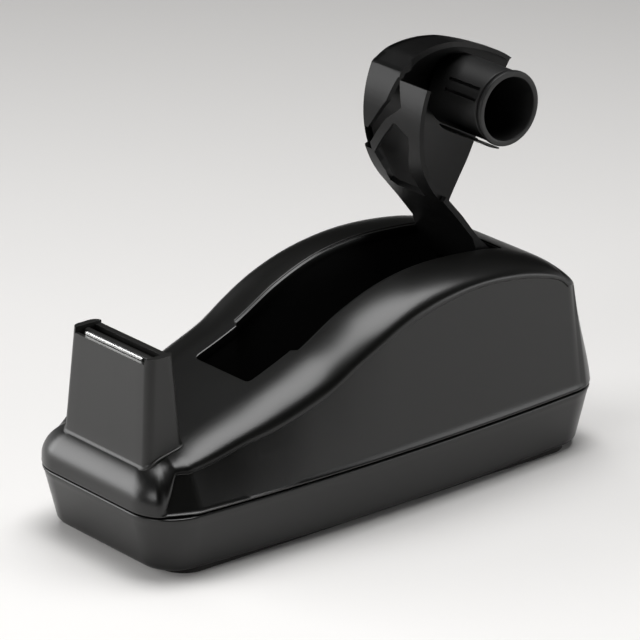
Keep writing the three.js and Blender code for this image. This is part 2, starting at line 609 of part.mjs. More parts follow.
// Spindle with a flange outside the plate.
const SPINDLE_END_X = -6.9;
const THREAD_END_X = -12.5;
piece('hub_spindle', turnedX([
  [CARRIER_LEFT - 1.1, 0], [CARRIER_LEFT - 1.1, 4.6], [CARRIER_LEFT - GAP, 4.6],
  [CARRIER_LEFT - GAP, SPINDLE_RADIUS], [SPINDLE_END_X, SPINDLE_RADIUS],
  [SPINDLE_END_X, 1.2], [THREAD_END_X, 1.2], [THREAD_END_X, 0],
], HUB_Y, HUB_Z, 24), screwSteel);

// ---------------------------------------------------------------- hub
const WEB_X = -9.9;
let hub = solid(turnedX([
  [HUB_INNER_X, SPINDLE_RADIUS + GAP], [HUB_INNER_X, HUB_RADIUS], [HUB_OUTER_X - 3, HUB_RADIUS],
  [HUB_OUTER_X - 2.6, HUB_RADIUS - 0.7], [HUB_OUTER_X - 1.7, HUB_RADIUS - 0.7],
  [HUB_OUTER_X - 1.5, HUB_LIP_RADIUS], [HUB_OUTER_X, HUB_LIP_RADIUS - 0.3], [HUB_OUTER_X, HUB_BORE],
  [WEB_X + 2.4, HUB_BORE], [WEB_X + 2.4, SPINDLE_RADIUS + GAP],
  [HUB_INNER_X, SPINDLE_RADIUS + GAP],
], HUB_Y, HUB_Z, 40));
// Pairs of lengthwise grooves mark out the three pads that grip the tape core.
const SLIT = 1.1;
const FINGER_HALF_DEG = 9;
for (const middle of [150, 270, 30]) {
  for (const side of [-1, 1]) {
    const slit = block(-4, HUB_OUTER_X - 4, -SLIT / 2, SLIT / 2, HUB_RADIUS - 1.1, 14);
    slit.rotateX(radians(middle + side * FINGER_HALF_DEG - 90)).translate(0, HUB_Y, HUB_Z);
    hub = hub.subtract(solid(slit));
  }
}
piece('roll_hub', hub, carrierPlastic);

// Leaf spring that stands off the hub and presses on the core.
function springOutline() {
  const outer = [];
  const inner = [];
  const steps = 10;
  for (let i = 0; i <= steps; i += 1) {
    const share = i / steps;
    const radius = 13.1 + 2.2 * share ** 2;
    const degrees = 254 - 46 * share;
    outer.push(aboutHub(radius + 0.5, degrees));
    inner.push(aboutHub(radius, degrees));
  }
  return outer.concat(inner.reverse());
}
piece('core_grip_spring', acrossX(springOutline(), -4, HUB_OUTER_X - 0.6), carrierPlastic);

// Washer and screw that keep the hub on its spindle.
const WASHER_BACK_X = WEB_X + 2.4 + GAP;
const WASHER_FACE_X = WASHER_BACK_X + 0.7;
const WASHER_HOLLOW_X = WASHER_FACE_X - 0.1;
piece('hub_washer', turnedX([
  [WASHER_BACK_X, SPINDLE_RADIUS + GAP], [WASHER_BACK_X, 6.2], [WASHER_FACE_X, 6.2], [WASHER_FACE_X, 1.5],
  [WASHER_HOLLOW_X, 1.5], [WASHER_HOLLOW_X, SPINDLE_RADIUS + GAP], [WASHER_BACK_X, SPINDLE_RADIUS + GAP],
], HUB_Y, HUB_Z, 24), screwSteel);
const HUB_SCREW_HEAD_X = WASHER_FACE_X + GAP;
piece('hub_screw', turnedX([
  [THREAD_END_X + 0.6, 0], [THREAD_END_X + 0.6, 0.9], [HUB_SCREW_HEAD_X, 0.9], [HUB_SCREW_HEAD_X, 3.4],
  [HUB_SCREW_HEAD_X + 1.5, 3], [HUB_SCREW_HEAD_X + 1.5, 0],
], HUB_Y, HUB_Z, 20), screwSteel);

export default group;
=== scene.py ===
"""A weighted desktop tape dispenser with its roll carrier standing open.

Lengths in this script are in millimetres, in the part's own frame: X across, Y from the cutter
to the back, Z up. They become metres when a mesh is made. The camera and the lights are placed in
metres.
"""
import math

import bmesh
import bpy
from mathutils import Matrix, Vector


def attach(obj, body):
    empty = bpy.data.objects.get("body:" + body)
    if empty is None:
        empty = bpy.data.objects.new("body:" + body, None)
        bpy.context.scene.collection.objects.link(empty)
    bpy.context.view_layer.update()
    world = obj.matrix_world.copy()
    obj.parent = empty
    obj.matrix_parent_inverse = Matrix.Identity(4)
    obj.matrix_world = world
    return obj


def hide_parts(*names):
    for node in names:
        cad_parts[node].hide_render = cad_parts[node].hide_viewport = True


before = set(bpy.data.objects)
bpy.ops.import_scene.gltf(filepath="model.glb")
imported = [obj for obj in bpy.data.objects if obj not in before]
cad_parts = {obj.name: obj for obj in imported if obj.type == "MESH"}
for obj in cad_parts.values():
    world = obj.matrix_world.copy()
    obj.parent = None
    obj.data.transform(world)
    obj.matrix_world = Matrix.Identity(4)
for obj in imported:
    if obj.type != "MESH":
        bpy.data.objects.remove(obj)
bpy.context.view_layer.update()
MM = 0.001

# ------------------------------------------------------------------ dimensions
# Body in plan at the seam.
HALF_WIDTH = 39.4
HALF_LENGTH = 93.9
SIDE_BOW = 4.3
CORNER = 16.0
SEAM_Z = 22.0

# Housing. The crest runs along the middle; the edge line is the crisp line under the shoulder.
CREST = (
    (-93.9, 35.5), (-88.3, 36.8), (-80, 38.4), (-72.3, 40.1), (-54.4, 45.5), (-40.9, 49.9), (-23, 56.8),
    (-6, 65.9), (10.7, 71.9), (27.6, 74.2), (45.9, 73.6), (60, 71.6), (74, 67), (83, 61),
    (88, 57.2), (93.9, 52.5),
)
EDGE_LINE = (
    (-84, 34.3), (-75.8, 34.8), (-68, 36.1), (-57.4, 38.9), (-46.7, 40.9), (-36, 44.1), (-24.7, 48.2),
    (-14.3, 54.3), (-2.2, 60.2), (10.1, 64.6), (26.9, 68.1), (41.2, 69.0), (54.8, 67.6), (64.5, 65.6),
    (74.5, 62.2), (80.9, 57.0), (93.9, 55.0),
)
# How far the sides lean in for each millimetre of height: most at the nose.
SIDE_LEAN = (
    (-84, 0.46), (-75.8, 0.47), (-68, 0.43), (-57.4, 0.343), (-46.7, 0.28), (-36, 0.217),
    (-24.7, 0.176), (-14, 0.13), (0, 0.1), (93.9, 0.1),
)
REAR_LEAN = 0.26
ROLL_X = 17.6            # where the shoulder starts to roll, from the middle
ROLL_FRONT_Y = -82.0
ROLL_REAR_Y = 75.5
FRONT_EDGE_Z = 24.5
REAR_EDGE_Z = 55.0
REAR_ROLL_END = 70       # degrees at which the rear's roll runs into its leaning wall
REAR_BULGE = 1.35        # above 1, the rear wall bows out
PANEL_RECESS = 0.6       # how far the side panels lie inside the shoulder
CREASE_FOOT = 47         # where the crisp edge reaches the seam, as degrees round the front corner
CREASE_TOP = 25          # and where it turns down towards the seam
CREASE_FADE = 8          # degrees over which the panel's lean and recess fade in behind the crease
PANEL_FLAT = 1.0         # how far the panel cuts the corner behind the crease
NOSE_LEAN = 0.04         # ahead of the crease the wall is nearly upright
NOSE_INSET = 0.1

# Opening over the roll well.
SLOT_FRONT_Y = -41.0
SLOT_REAR_Y = 63.4
SLOT_JOG_Y = -24.0
SLOT_NARROW = 13.5
SLOT_WIDE = 16.4
SLOT_CORNER = 1.5
LEDGE_WIDTH = 1.0
LEDGE_DROP = 0.45

# Tray.
TRAY_TOP_Z = 21.65
TRAY_BOTTOM_Z = 1.9
TRAY_FLARE = 0.19

# Cutter head.
HEAD_BASE = (22.1, -88.4, -72.6)       # half width, front Y, rear Y, at HEAD_BASE_Z
HEAD_TOP = (20.2, -85.4, -75.0)
HEAD_BASE_Z = 34.0
HEAD_TOP_Z = 70.0
HEAD_CORNER = 3.0
HEAD_FLARE = 0.7
CHEEK = 2.4              # wall on each side of the trough
TROUGH_FLOOR_Z = 65.0
FRONT_WALL_TOP_Z = 68.2
FRONT_WALL_Y = -84.3
REAR_WALL_Y = -77.2

# Carrier and hub, open.
HINGE = (58.6, 66.5)
HUB = (66.7, 117.75)
CARRIER_LEFT = -14.9
CARRIER_RIGHT = 15.3
PLATE_THICKNESS = 2.0
SHELL_OUTER = 38.0
SHELL_THICKNESS = 1.8
HOOD_OUTER = 36.7
HOOD_THICKNESS = 2.0


# ------------------------------------------------------------------ shape helpers
def smooth_through(table, at):
    """A smooth curve through a table of (place, value), read at one place."""
    if at <= table[0][0]:
        return table[0][1]
    if at >= table[-1][0]:
        return table[-1][1]
    i = next(k for k in range(1, len(table)) if table[k][0] >= at)

    def slope(k):
        before, after = table[max(k - 1, 0)], table[min(k + 1, len(table) - 1)]
        return (after[1] - before[1]) / (after[0] - before[0])

    (x0, y0), (x1, y1) = table[i - 1], table[i]
    span = x1 - x0
    t = (at - x0) / span
    rise = y1 - y0
    m0, m1 = slope(i - 1) * span, slope(i) * span
    return y0 + t * (m0 + t * (3 * rise - 2 * m0 - m1 + t * (m0 + m1 - 2 * rise)))


def mix(a, b, t):
    """The value a share t of the way from a to b."""
    return a + (b - a) * t


def ease(t):
    """A share from 0 to 1 that starts and stops gently."""
    t = min(1.0, max(0.0, t))
    return t * t * (3 - 2 * t)


def crest(y):
    """Height of the housing's top along its middle."""
    return smooth_through(CREST, y)


def spread(start, end, count):
    """count values from start, leaving out end."""
    return [mix(start, end, i / count) for i in range(count)]


def new_piece(name, points, faces):
    """An object from points in millimetres, with outward normals."""
    mesh = bpy.data.meshes.new(name)
    mesh.from_pydata([(x * MM, y * MM, z * MM) for x, y, z in points], [], faces)
    work = bmesh.new()
    work.from_mesh(mesh)
    bmesh.ops.remove_doubles(work, verts=work.verts, dist=1e-7)
    bmesh.ops.recalc_face_normals(work, faces=work.faces)
    work.to_mesh(mesh)
    work.free()
    piece = bpy.data.objects.new(name.replace(" ", "_"), mesh)
    bpy.context.scene.collection.objects.link(piece)
    return piece


def lofted(name, rings, cap_first=False, cap_last=False):
    """A skin over closed rings that all have the same number of points."""
    count = len(rings[0])
    points = [p for ring in rings for p in ring]
    faces = []
    for r in range(len(rings) - 1):
        for i in range(count):
            j = (i + 1) % count
            faces.append((r * count + i, r * count + j, (r + 1) * count + j, (r + 1) * count + i))
    if cap_first:
        faces.append(tuple(range(count)))
    if cap_last:
        faces.append(tuple(range((len(rings) - 1) * count, len(rings) * count)))
    return new_piece(name, points, faces)


def prism(name, outline, x0, x1):
    """A side outline in Y and Z, from x0 to x1."""
    rings = [[(x, y, z) for y, z in outline] for x in (x0, x1)]
    return lofted(name, rings, True, True)


def upright_prism(name, outline, z0, z1):
    """A plan outline in X and Y, from z0 to z1."""
    rings = [[(x, y, z) for x, y in outline] for z in (z0, z1)]
    return lofted(name, rings, True, True)


def block(name, x0, x1, y0, y1, z0, z1):
    """A box between two corners."""
    return prism(name, ((y0, z0), (y1, z0), (y1, z1), (y0, z1)), x0, x1)


def turned(name, profile, centre, sides=96):
    """A closed profile of (x, radius), turned about an axis along X through centre."""
    cy, cz = centre
    rings = []
    for x, radius in profile + profile[:1]:
        rings.append([
            (x, cy + radius * math.cos(math.tau * i / sides), cz + radius * math.sin(math.tau * i / sides))
            for i in range(sides)
        ])
    return lofted(name, rings)


def combine(piece, others, how):
    """Cuts pieces away from a piece, or joins them to it, and removes them."""
    for other in others:
        change = piece.modifiers.new("combine", "BOOLEAN")
        change.operation = how
        change.solver = "EXACT"
        change.object = other
        graph = bpy.context.evaluated_depsgraph_get()
        result = bpy.data.meshes.new_from_object(piece.evaluated_get(graph))
        piece.modifiers.clear()
        piece.data = result
        bpy.data.objects.remove(other)
    return piece


def cut(piece, *others):
    return combine(piece, others, "DIFFERENCE")


def fuse(piece, *others):
    return combine(piece, others, "UNION")


def round_edges(piece, width, segments, angle):
    """A bevel on every edge sharper than the angle."""
    bevel = piece.modifiers.new("rounded edges", "BEVEL")
    bevel.width = width * MM
    bevel.segments = segments
    bevel.limit_method = "ANGLE"
    bevel.angle_limit = math.radians(angle)
    return bevel


def soften(piece, width, segments=3, angle=32):
    """Smooth shading, with every edge sharper than the angle rounded."""
    round_edges(piece, width, segments, angle).harden_normals = True
    for face in piece.data.polygons:
        face.use_smooth = True
    return piece


def shade(piece, angle=35):
    """Smooth shading that stays crisp at edges sharper than the angle."""
    for face in piece.data.polygons:
        face.use_smooth = True
    piece.data.set_sharp_from_angle(angle=math.radians(angle))
    return piece


def place(piece, body, slot, material, *nodes):
    """Hands a piece to the frame: its body, its finish and the nodes it stands for. The slot is not used.
    """
    piece.data.materials.clear()
    piece.data.materials.append(material)
    if nodes:
        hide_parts(*nodes)
    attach(piece, body)
    return piece


# ------------------------------------------------------------------ materials
# The mix node has sockets for numbers, vectors and colours, all named alike. These are its colours.
COLOUR_A = 6
COLOUR_B = 7
COLOUR_RESULT = 2


class Nodes:
    """The node tree of a material or of the world, built up node by node."""

    def __init__(self, owner, shader, coordinates):
        owner.use_nodes = True
        self.tree = owner.node_tree
        self.shader = self.tree.nodes[shader]
        self.place = self.add("ShaderNodeTexCoord").outputs[coordinates]

    def add(self, kind, **settings):
        """A new node, with its settings."""
        node = self.tree.nodes.new(kind)
        for key, value in settings.items():
            setattr(node, key, value)
        return node

    def link(self, output, target):
        self.tree.links.new(output, target)

    def noise(self, scale, detail=3.0, roughness=0.55, stretch=None):
        """Noise from 0 to 1, drawn out along an axis where stretch is given."""
        node = self.add("ShaderNodeTexNoise")
        node.inputs["Scale"].default_value = scale
        node.inputs["Detail"].default_value = detail
        node.inputs["Roughness"].default_value = roughness
        source = self.place
        if stretch:
            mapping = self.add("ShaderNodeMapping")
            mapping.inputs["Scale"].default_value = stretch
            self.link(source, mapping.inputs["Vector"])
            source = mapping.outputs["Vector"]
        self.link(source, node.inputs["Vector"])
        return node.outputs["Fac"]

    def remap(self, source, from_low, from_high, to_low, to_high):
        """A value carried from one range to another, and held within it."""
        node = self.add("ShaderNodeMapRange")
        for key, value in (
            ("From Min", from_low), ("From Max", from_high), ("To Min", to_low), ("To Max", to_high),
        ):
            node.inputs[key].default_value = value
        self.link(source, node.inputs["Value"])
        return node.outputs["Result"]

    def along(self, direction):
        """How far each place lies along a direction."""
        node = self.add("ShaderNodeVectorMath", operation="DOT_PRODUCT")
        node.inputs[1].default_value = direction
        self.link(self.place, node.inputs[0])
        return node.outputs["Value"]

    def math(self, operation, a, b):
        node = self.add("ShaderNodeMath", operation=operation)
        for socket, value in zip(node.inputs, (a, b)):
            if isinstance(value, (int, float)):
                socket.default_value = value
            else:
                self.link(value, socket)
        return node.outputs["Value"]

    def blend(self, factor, a, b):
        """A colour between two."""
        node = self.add("ShaderNodeMix", data_type="RGBA")
        self.link(factor, node.inputs["Factor"])
        for socket, value in ((node.inputs[COLOUR_A], a), (node.inputs[COLOUR_B], b)):
            if isinstance(value, tuple):
                socket.default_value = (*value, 1)
            else:
                self.link(value, socket)
        return node.outputs[COLOUR_RESULT]

    def bump(self, height, depth, strength=1.0, under=None):
        """A normal from a height, with a depth in millimetres, on top of another bump if given."""
        node = self.add("ShaderNodeBump")
        node.inputs["Strength"].default_value = strength
        node.inputs["Distance"].default_value = depth * MM
        self.link(height, node.inputs["Height"])
        if under is not None:
            self.link(under, node.inputs["Normal"])
        return node.outputs["Normal"]

    def worn_edges(self, low, high):
        """1 on worn outer edges and 0 elsewhere, broken up by noise."""
        pointiness = self.add("ShaderNodeNewGeometry").outputs["Pointiness"]
        edge = self.remap(pointiness, low, high, 0.0, 1.0)
        return self.math("MULTIPLY", edge, self.remap(self.noise(350, 4), 0.35, 0.7, 0.0, 1.0))


def material_nodes(name):
    """A new material and its nodes."""
    material = bpy.data.materials.new(name)
    return material, Nodes(material, "Principled BSDF", "Object")


def scaled(colour, factor, lift=0.0):
    """A colour made lighter or darker."""
    return tuple(channel * factor + lift for channel in colour)


def moulded_plastic(name, colour, roughness, grain=0.02, grain_scale=2400, wear=0.25, specular=0.5):
    """Satin moulded plastic: spark-eroded grain, uneven gloss, faint dust and worn edges."""
    material, nodes = material_nodes(name)
    nodes.shader.inputs["Specular IOR Level"].default_value = specular
    light = scaled(colour, 1.7, 0.004)
    cloud = nodes.noise(22, 4)
    dust = nodes.math("MULTIPLY", nodes.remap(nodes.noise(900, 5, 0.7), 0.62, 0.8, 0.0, 1.0), 0.35)
    tone = nodes.blend(nodes.remap(cloud, 0.3, 0.7, 0.0, 0.6), colour, scaled(colour, 1.25))
    tone = nodes.blend(dust, tone, light)
    tone = nodes.blend(nodes.math("MULTIPLY", nodes.worn_edges(0.52, 0.62), wear), tone, light)
    nodes.link(tone, nodes.shader.inputs["Base Color"])
    gloss = nodes.math("ADD", nodes.remap(cloud, 0.25, 0.75, -0.02, 0.02), roughness)
    streak = nodes.remap(nodes.noise(160, 3, 0.6, (1, 0.12, 1)), 0.6, 0.75, 0.0, 0.05)
    nodes.link(nodes.math("ADD", gloss, streak), nodes.shader.inputs["Roughness"])
    fine = nodes.bump(nodes.noise(grain_scale, 2, 0.5), grain)
    waves = nodes.bump(nodes.noise(55, 2, 0.4), 0.05, 0.35, fine)
    nodes.link(waves, nodes.shader.inputs["Normal"])
    return material


def brushed_metal(name, colour, roughness, stretch, wear=0.3):
    """Metal with fine drawn lines and uneven polish."""
    material, nodes = material_nodes(name)
    nodes.shader.inputs["Metallic"].default_value = 1.0
    lines = nodes.noise(2500, 3, 0.6, stretch)
    cloud = nodes.noise(90, 4)
    tone = nodes.blend(nodes.remap(cloud, 0.3, 0.75, 0.0, wear), colour, scaled(colour, 0.72))
    nodes.link(tone, nodes.shader.inputs["Base Color"])
    gloss = nodes.math("ADD", nodes.remap(lines, 0.3, 0.7, -0.06, 0.08), roughness)
    nodes.link(gloss, nodes.shader.inputs["Roughness"])
    nodes.link(nodes.bump(lines, 0.006), nodes.shader.inputs["Normal"])
    return material


def cast_iron(name):
    """Rough grey iron with patches of rust."""
    material, nodes = material_nodes(name)
    nodes.shader.inputs["Metallic"].default_value = 0.7
    rust = nodes.remap(nodes.noise(180, 6, 0.65), 0.5, 0.7, 0.0, 0.6)
    tone = nodes.blend(rust, (0.09, 0.085, 0.08), (0.13, 0.055, 0.025))
    nodes.link(tone, nodes.shader.inputs["Base Color"])
    nodes.link(nodes.remap(rust, 0, 0.6, 0.6, 0.95), nodes.shader.inputs["Roughness"])
    nodes.link(nodes.bump(nodes.noise(600, 6, 0.7), 0.18), nodes.shader.inputs["Normal"])
    return material


def foam_rubber(name):
    """Dark rubber with open cells."""
    material, nodes = material_nodes(name)
    cells = nodes.add("ShaderNodeTexVoronoi")
    cells.inputs["Scale"].default_value = 1400
    nodes.link(nodes.place, cells.inputs["Vector"])
    cloud = nodes.noise(60, 5)
    tone = nodes.blend(cloud, (0.018, 0.017, 0.016), (0.04, 0.038, 0.036))
    nodes.link(tone, nodes.shader.inputs["Base Color"])
    nodes.link(nodes.remap(cloud, 0.3, 0.7, 0.82, 0.96), nodes.shader.inputs["Roughness"])
    nodes.link(nodes.bump(cells.outputs["Distance"], 0.12), nodes.shader.inputs["Normal"])
    return material


housing_plastic = moulded_plastic("housing plastic", (0.0034, 0.0034, 0.0031), 0.29)
head_plastic = moulded_plastic("cutter head plastic", (0.0075, 0.0075, 0.0068), 0.38)
carrier_plastic = moulded_plastic(
    "carrier plastic", (0.0025, 0.0025, 0.0025), 0.36, 0.012, 1800, specular=0.17,
)
hub_plastic = moulded_plastic("hub plastic", (0.005, 0.005, 0.005), 0.48, 0.012, 1800)
well_plastic = moulded_plastic("well plastic", (0.002, 0.002, 0.002), 0.62, 0.03, 1500, 0.05)
blade_steel = brushed_metal("blade steel", (0.83, 0.83, 0.82), 0.24, (1, 1, 0.05))
zinc_steel = brushed_metal("zinc plated steel", (0.56, 0.56, 0.55), 0.36, (0.2, 1, 1))
iron = cast_iron("cast iron")
rubber = foam_rubber("foam rubber")


# ------------------------------------------------------------------ body
def half_width(y):
    """Half the width at the seam. The sides bow out in the middle."""
    return HALF_WIDTH - SIDE_BOW * (y / HALF_LENGTH) ** 2


def rim_end(share, end_y, half, turn):
    """A place on the slot's front or rear edge, from the middle (0) to the end of its corner (1)."""
    straight = half - SLOT_CORNER
    reach = share * (straight + SLOT_CORNER * math.pi / 2)
    if reach < straight:
        return (reach, end_y), (0.0, turn)
    angle = (reach - straight) / SLOT_CORNER
    centre_y = end_y + turn * SLOT_CORNER
    return (
        (straight + SLOT_CORNER * math.sin(angle), centre_y - turn * SLOT_CORNER * math.cos(angle)),
        (-math.sin(angle), turn * math.cos(angle)),
    )


def step_from(start, way, distance):
    return (start[0] + way[0] * distance, start[1] + way[1] * distance)


# Columns fan out from the slot's rim to the seam. Each share is how far round the end of the rim, from
# its middle to its side, the columns of a stretch reach.
NOSE_SHARE = 0.4
FRONT_CORNER_SHARE = 0.62
REAR_CORNER_SHARE = 0.6
REAR_SHARE = 0.4
JOG_LENGTH = 1.4
CORNER_Y = HALF_LENGTH - CORNER
CORNER_X = half_width(CORNER_Y) - CORNER
FRONT_ROLL_CORNER = -ROLL_FRONT_Y - CORNER_Y
REAR_ROLL_CORNER = 3
REAR_INSET = REAR_LEAN * (REAR_EDGE_Z - SEAM_Z)


def column_at(foot, out, roll, rim, into, edge_z, inset, ledge, degrees=0, flat=0.0, roll_end=90):
    """One column of the body's skin.

    It knows its foot on the seam, the way out, where the shoulder starts to roll, its place on the
    slot's rim with the way in, how high the crisp edge is and how far in from the foot, how much of
    the ledge it has, how many degrees round a corner it is, how much the panel cuts the corner, and
    at how many degrees the roll ends.
    """
    return {
        "foot": step_from(foot, out, -flat), "out": out, "roll": roll, "rim": rim, "into": into,
        "edge_z": edge_z, "inset": inset, "ledge": ledge, "degrees": degrees, "tray": foot,
        "roll_end": roll_end,
    }


def side_column(y, rim, into, ledge, roll_y):
    """A column at one place along the side."""
    edge_z = smooth_through(EDGE_LINE, y)
    inset = smooth_through(SIDE_LEAN, y) * (edge_z - SEAM_Z)
    return column_at((half_width(y), y), (1, 0), (ROLL_X, roll_y), rim, into, edge_z, inset, ledge)


def nose_columns():
    """Across the front, from the middle to the corner."""
    for t in spread(0, 1, 12):
        rim, into = rim_end(t * NOSE_SHARE, SLOT_FRONT_Y, SLOT_NARROW, 1)
        roll = (t * (ROLL_X - FRONT_ROLL_CORNER), ROLL_FRONT_Y)
        foot = (t * CORNER_X, -HALF_LENGTH)
        yield column_at(foot, (0, -1), roll, rim, into, FRONT_EDGE_Z, NOSE_INSET, 0, 90)


def front_corner_columns():
    """Round the front corner, where the crisp edge turns down to the seam."""
    side_edge_z = smooth_through(EDGE_LINE, -CORNER_Y)
    side_lean = smooth_through(SIDE_LEAN, -CORNER_Y)
    for t in spread(0, 1, 54):
        degrees = 90 * (1 - t)
        angle = math.radians(degrees)
        out = (math.cos(angle), -math.sin(angle))
        foot = (CORNER_X + CORNER * out[0], -CORNER_Y + CORNER * out[1])
        roll = (ROLL_X - FRONT_ROLL_CORNER * (1 - out[0]), -CORNER_Y + FRONT_ROLL_CORNER * out[1])
        rim, into = rim_end(mix(NOSE_SHARE, FRONT_CORNER_SHARE, t), SLOT_FRONT_Y, SLOT_NARROW, 1)
        risen = ease((CREASE_FOOT - degrees) / (CREASE_FOOT - CREASE_TOP))
        edge_z = mix(FRONT_EDGE_Z, side_edge_z, risen)
        lean = mix(NOSE_LEAN, side_lean, ease((CREASE_FOOT + 3 - degrees) / CREASE_FADE))
        flat = PANEL_FLAT * math.sin(math.pi * min(1.0, degrees / (CREASE_FOOT + 6)))
        yield column_at(foot, out, roll, rim, into, edge_z, lean * (edge_z - SEAM_Z), 0, degrees, flat)


def side_columns():
    """Along the side: beside the rim's front end, its straight side, then its rear end."""
    rim_front = SLOT_FRONT_Y + SLOT_CORNER
    rim_rear = SLOT_REAR_Y - SLOT_CORNER
    for y in spread(-CORNER_Y, rim_front, 22):
        share = mix(FRONT_CORNER_SHARE, 1, (y + CORNER_Y) / (rim_front + CORNER_Y))
        yield side_column(y, *rim_end(share, SLOT_FRONT_Y, SLOT_NARROW, 1), 0, y)
    straight = spread(rim_front, SLOT_JOG_Y, 8)
    straight += [SLOT_JOG_Y, SLOT_JOG_Y + JOG_LENGTH / 2, SLOT_JOG_Y + JOG_LENGTH]
    straight += spread(SLOT_JOG_Y + 2, rim_rear, 44)
    for y in straight:
        wide = ease((y - SLOT_JOG_Y) / JOG_LENGTH)
        yield side_column(y, (mix(SLOT_NARROW, SLOT_WIDE, wide), y), (-1, 0), wide, y)
    for y in spread(rim_rear, CORNER_Y, 10):
        share = mix(1, REAR_CORNER_SHARE, (y - rim_rear) / (CORNER_Y - rim_rear))
        roll_y = min(y, ROLL_REAR_Y - REAR_ROLL_CORNER)
        yield side_column(y, *rim_end(share, SLOT_REAR_Y, SLOT_WIDE, -1), 1, roll_y)


def rear_corner_columns():
    """Round the rear corner, where the side's crisp edge fades into the leaning rear wall."""
    side_edge_z = smooth_through(EDGE_LINE, CORNER_Y)
    side_inset = smooth_through(SIDE_LEAN, CORNER_Y) * (side_edge_z - SEAM_Z)
    roll_y = ROLL_REAR_Y - REAR_ROLL_CORNER
    for t in spread(0, 1, 20):
        angle = math.pi / 2 * t
        out = (math.cos(angle), math.sin(angle))
        foot = (CORNER_X + CORNER * out[0], CORNER_Y + CORNER * out[1])
        roll = (ROLL_X - REAR_ROLL_CORNER * (1 - out[0]), roll_y + REAR_ROLL_CORNER * out[1])
        rim, into = rim_end(mix(REAR_CORNER_SHARE, REAR_SHARE, t), SLOT_REAR_Y, SLOT_WIDE, -1)
        edge_z = mix(side_edge_z, REAR_EDGE_Z, ease(t * 1.3))
        inset = mix(side_inset, REAR_INSET, ease(t * 1.4))
        roll_end = mix(90, REAR_ROLL_END, ease(t * 1.5))
        # Counted faster than the corner turns, so that the panel's recess is gone early.
        degrees = min(90, 200 * t)
        yield column_at(foot, out, roll, rim, into, edge_z, inset, 1, degrees, roll_end=roll_end)


def rear_columns():
    """Across the rear, from the corner to the middle."""
    for t in spread(1, 0, 12) + [0]:
        rim, into = rim_end(t * REAR_SHARE, SLOT_REAR_Y, SLOT_WIDE, -1)
        roll = (t * (ROLL_X - REAR_ROLL_CORNER), ROLL_REAR_Y)
        foot = (t * CORNER_X, HALF_LENGTH)
        yield column_at(foot, (0, 1), roll, rim, into, REAR_EDGE_Z, REAR_INSET, 1, 90,
                        roll_end=REAR_ROLL_END)


def half_columns():
    """Columns round the right half of the body, from the front's middle to the rear's middle."""
    return [
        *nose_columns(), *front_corner_columns(), *side_columns(), *rear_corner_columns(),
        *rear_columns(),
    ]


def mirrored(column):
    """The same column on the left side."""
    other = dict(column)
    for key in ("foot", "out", "roll", "rim", "into", "tray"):
        x, y = column[key]
        other[key] = (-x, y)
    return other


half = half_columns()
body_columns = half + [mirrored(column) for column in reversed(half[1:-1])]


def housing_column(column):
    """Points of one housing column, from inside the slot's rim over the top to the seam."""
    points = []

    def put(xy, z):
        points.append((xy[0], xy[1], z))

    # Rim: a plain rounded lip ahead of the jog, and a lip, a ledge and a second lip behind it.
    plain = ((0, 3.2), (0, 0.5), (-0.15, 0.15), (-0.5, 0), (-0.55, 0), (-0.6, 0), (-0.65, 0), (-0.7, 0))
    stepped = (
        (LEDGE_WIDTH, 3.2), (LEDGE_WIDTH, LEDGE_DROP + 0.4), (LEDGE_WIDTH - 0.12, LEDGE_DROP + 0.12),
        (LEDGE_WIDTH - 0.4, LEDGE_DROP), (0.1, LEDGE_DROP), (0, LEDGE_DROP - 0.08), (-0.1, 0.1), (-0.35, 0),
    )
    for (in_a, down_a), (in_b, down_b) in zip(plain, stepped):
        xy = step_from(column["rim"], column["into"], mix(in_a, in_b, column["ledge"]))
        put(xy, crest(xy[1]) - mix(down_a, down_b, column["ledge"]))
    # Top, as far as the start of the roll.
    lip = points[-1]
    top_steps = 12
    for i in range(1, top_steps):
        t = i / top_steps
        xy = (mix(lip[0], column["roll"][0], t), mix(lip[1], column["roll"][1], t))
        put(xy, crest(xy[1]))
    # Shoulder roll, down to the crisp edge.
    edge_z = column["edge_z"]
    edge = step_from(column["foot"], column["out"], -column["inset"])
    fall = crest(edge[1]) - edge_z
    roll_steps = 18
    for i in range(roll_steps + 1):
        last = math.radians(column["roll_end"])
        angle = last * i / roll_steps
        t = math.sin(angle) / math.sin(last)
        xy = (mix(column["roll"][0], edge[0], t), mix(column["roll"][1], edge[1], t))
        put(xy, crest(xy[1]) - fall * (1 - math.cos(angle)) / (1 - math.cos(last)))

    # Overhang, then the panel down to the seam. The panel lies inside the shoulder's plane.
    deep = PANEL_RECESS * ease((CREASE_FOOT + 1 - column["degrees"]) / CREASE_FADE)
    height = edge_z - SEAM_Z
    bulge = mix(1, REAR_BULGE, (90 - column["roll_end"]) / (90 - REAR_ROLL_END))
    for share, down in ((0.05, 0.45), (0.5, 0.75), (1.0, 0.85)):
        inward = column["inset"] * (1 - down / height) ** bulge + share * deep
        put(step_from(column["foot"], column["out"], -inward), edge_z - down)
    panel_steps = 14
    for i in range(panel_steps + 1):
        z = mix(edge_z - 1.2, SEAM_Z + 1.1, i / panel_steps)
        share = ((z - SEAM_Z) / height) ** bulge
        put(step_from(column["foot"], column["out"], -column["inset"] * share - deep), z)
    # Rounded lower lip and the return under it.
    for inward, z in ((0, 0.7), (0.12, 0.3), (0.45, 0.1), (0.9, 0.1), (2.4, 0.1), (2.4, 3)):
        put(step_from(column["foot"], column["out"], -inward - deep * 0.6), SEAM_Z + z)
    return points


